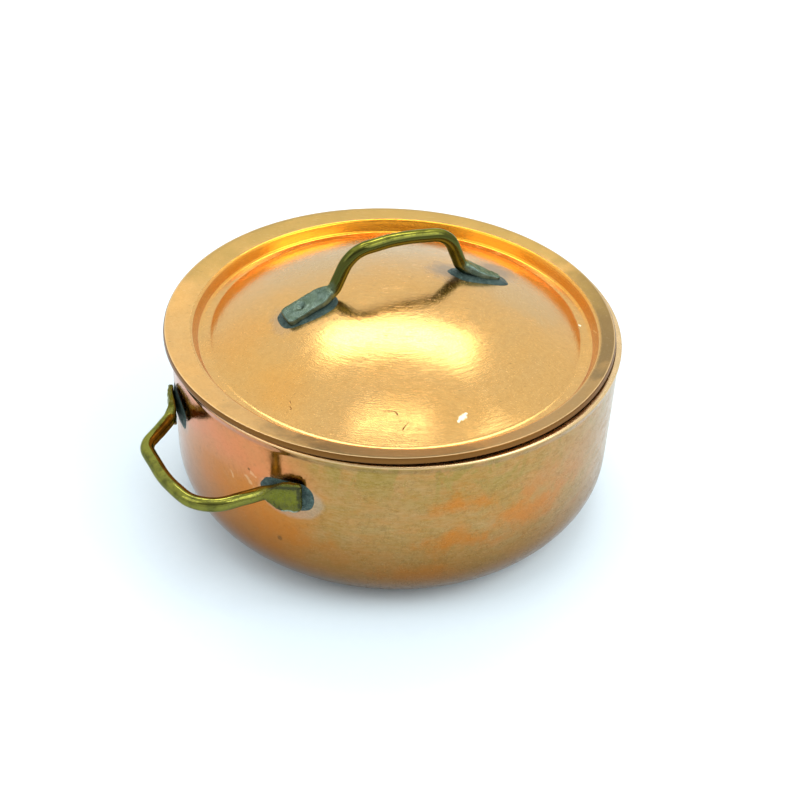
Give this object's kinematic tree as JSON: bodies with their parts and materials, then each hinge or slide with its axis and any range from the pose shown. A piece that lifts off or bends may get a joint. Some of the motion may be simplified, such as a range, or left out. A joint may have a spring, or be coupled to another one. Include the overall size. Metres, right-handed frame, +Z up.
{
  "type": "lidded copper saucepan",
  "caption": "Small round copper pan with a bent brass wire side handle and a lift-off domed lid with a brass wire arch handle.",
  "frame": {"origin": "centre of the pan's flat base, on the surface it stands on", "axes": "+Z up along the pan's axis; the side handle points along -X; +Y follows by the right-hand rule"},
  "size_m": [0.0729, 0.0644, 0.0401],
  "materials": {
    "pan_copper": "spun copper, polished and worn, with oxide stains",
    "lid_copper": "spun copper, polished and worn, with fine turning marks",
    "handle_brass": "yellow brass wire, polished on top and tarnished below",
    "solder": "soft solder, tarnished grey-green with bright specks"
  },
  "bodies": {
    "pan": {"pan_body": "pan_copper", "side_handle": "handle_brass", "side_solder_front": "solder", "side_solder_rear": "solder"},
    "lid": {"lid_shell": "lid_copper", "lid_handle": "handle_brass", "lid_solder_left": "solder", "lid_solder_right": "solder"}
  },
  "joints": [
    {"name": "lid_lift", "type": "slide", "parent": "pan", "child": "lid", "axis": [0, 0, 1], "range_m": [0, 0.03]}
  ]
}
